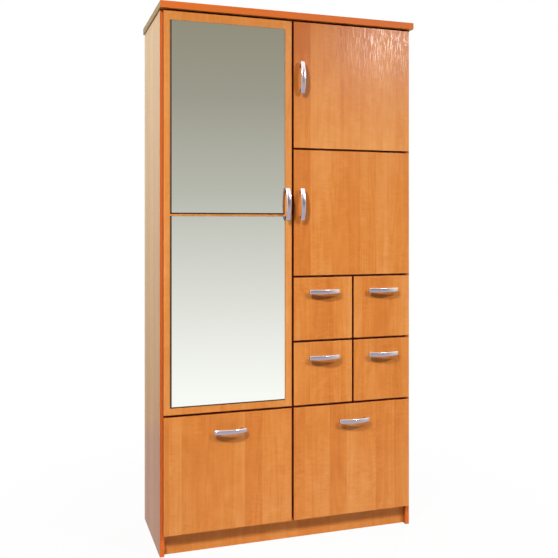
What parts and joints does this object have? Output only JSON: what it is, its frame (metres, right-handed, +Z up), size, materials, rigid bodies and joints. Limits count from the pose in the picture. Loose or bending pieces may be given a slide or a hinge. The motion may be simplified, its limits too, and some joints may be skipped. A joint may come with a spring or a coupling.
{
  "type": "chifforobe",
  "caption": "Tall alder-coloured cabinet with a mirrored wardrobe door beside plain doors, small drawers and deep drawers, bow handles and a recessed plinth.",
  "frame": {"origin": "on the floor, under the middle of the bounding box, handles included", "axes": "+Z up, front towards -Y, +X to the right seen from the front"},
  "size_m": [1.008, 0.448, 2],
  "materials": {
    "alder_board": "alder-coloured laminate, satin",
    "back_board": "thin hardboard, painted face",
    "box_board": "pale foil on drawer boards",
    "mirror": "silvered glass",
    "handle_metal": "satin metal",
    "hinge_steel": "nickel-plated steel",
    "runner_steel": "white powder coat",
    "rail_metal": "bright plated tube"
  },
  "bodies": {
    "carcass": {"left_side_panel": "alder_board", "right_side_panel": "alder_board", "top_panel": "alder_board", "bottom_panel": "alder_board", "centre_partition": "alder_board", "plinth_board": "alder_board", "rear_plinth_board": "alder_board", "left_back_sheet": "back_board", "right_back_sheet": "back_board", "left_fixed_shelf": "alder_board", "right_lower_fixed_shelf": "alder_board", "right_middle_fixed_shelf": "alder_board", "right_upper_fixed_shelf": "alder_board", "drawer_divider": "alder_board", "drawer_cross_rails": "alder_board", "hat_shelf": "alder_board", "lower_loose_shelf": "alder_board", "upper_loose_shelf": "alder_board", "shelf_pegs": "hinge_steel", "hanger_rail": "rail_metal", "rail_brackets": "rail_metal", "hinge_arms": "hinge_steel", "hinge_plates": "hinge_steel", "cabinet_runners": "runner_steel"},
    "mirror_door": {"mirror_door_panel": "alder_board", "upper_mirror": "mirror", "lower_mirror": "mirror", "mirror_door_handle": "handle_metal", "mirror_door_hinge_cups": "hinge_steel"},
    "lower_door": {"lower_door_panel": "alder_board", "lower_door_handle": "handle_metal", "lower_door_hinge_cups": "hinge_steel"},
    "upper_door": {"upper_door_panel": "alder_board", "upper_door_handle": "handle_metal", "upper_door_hinge_cups": "hinge_steel"},
    "left_deep_drawer": {"left_deep_drawer_front": "alder_board", "left_deep_drawer_box": "box_board", "left_deep_drawer_handle": "handle_metal", "left_deep_drawer_runners": "runner_steel"},
    "right_deep_drawer": {"right_deep_drawer_front": "alder_board", "right_deep_drawer_box": "box_board", "right_deep_drawer_handle": "handle_metal", "right_deep_drawer_runners": "runner_steel"},
    "low_left_drawer": {"low_left_drawer_front": "alder_board", "low_left_drawer_box": "box_board", "low_left_drawer_handle": "handle_metal", "low_left_drawer_runners": "runner_steel"},
    "low_right_drawer": {"low_right_drawer_front": "alder_board", "low_right_drawer_box": "box_board", "low_right_drawer_handle": "handle_metal", "low_right_drawer_runners": "runner_steel"},
    "high_left_drawer": {"high_left_drawer_front": "alder_board", "high_left_drawer_box": "box_board", "high_left_drawer_handle": "handle_metal", "high_left_drawer_runners": "runner_steel"},
    "high_right_drawer": {"high_right_drawer_front": "alder_board", "high_right_drawer_box": "box_board", "high_right_drawer_handle": "handle_metal", "high_right_drawer_runners": "runner_steel"}
  },
  "joints": [
    {"name": "mirror_door_hinge", "type": "hinge", "parent": "carcass", "child": "mirror_door", "pos_m": [-0.483, -0.183, 1.241], "axis": [0, 0, -1], "range_deg": [0, 100]},
    {"name": "lower_door_hinge", "type": "hinge", "parent": "carcass", "child": "lower_door", "pos_m": [0.483, -0.183, 1.2445], "axis": [0, 0, 1], "range_deg": [0, 100]},
    {"name": "upper_door_hinge", "type": "hinge", "parent": "carcass", "child": "upper_door", "pos_m": [0.483, -0.183, 1.7295], "axis": [0, 0, 1], "range_deg": [0, 100]},
    {"name": "left_deep_drawer_slide", "type": "slide", "parent": "carcass", "child": "left_deep_drawer", "axis": [0, -1, 0], "range_m": [0, 0.27]},
    {"name": "right_deep_drawer_slide", "type": "slide", "parent": "carcass", "child": "right_deep_drawer", "axis": [0, -1, 0], "range_m": [0, 0.27]},
    {"name": "low_left_drawer_slide", "type": "slide", "parent": "carcass", "child": "low_left_drawer", "axis": [0, -1, 0], "range_m": [0, 0.27]},
    {"name": "low_right_drawer_slide", "type": "slide", "parent": "carcass", "child": "low_right_drawer", "axis": [0, -1, 0], "range_m": [0, 0.27]},
    {"name": "high_left_drawer_slide", "type": "slide", "parent": "carcass", "child": "high_left_drawer", "axis": [0, -1, 0], "range_m": [0, 0.27]},
    {"name": "high_right_drawer_slide", "type": "slide", "parent": "carcass", "child": "high_right_drawer", "axis": [0, -1, 0], "range_m": [0, 0.27]}
  ]
}
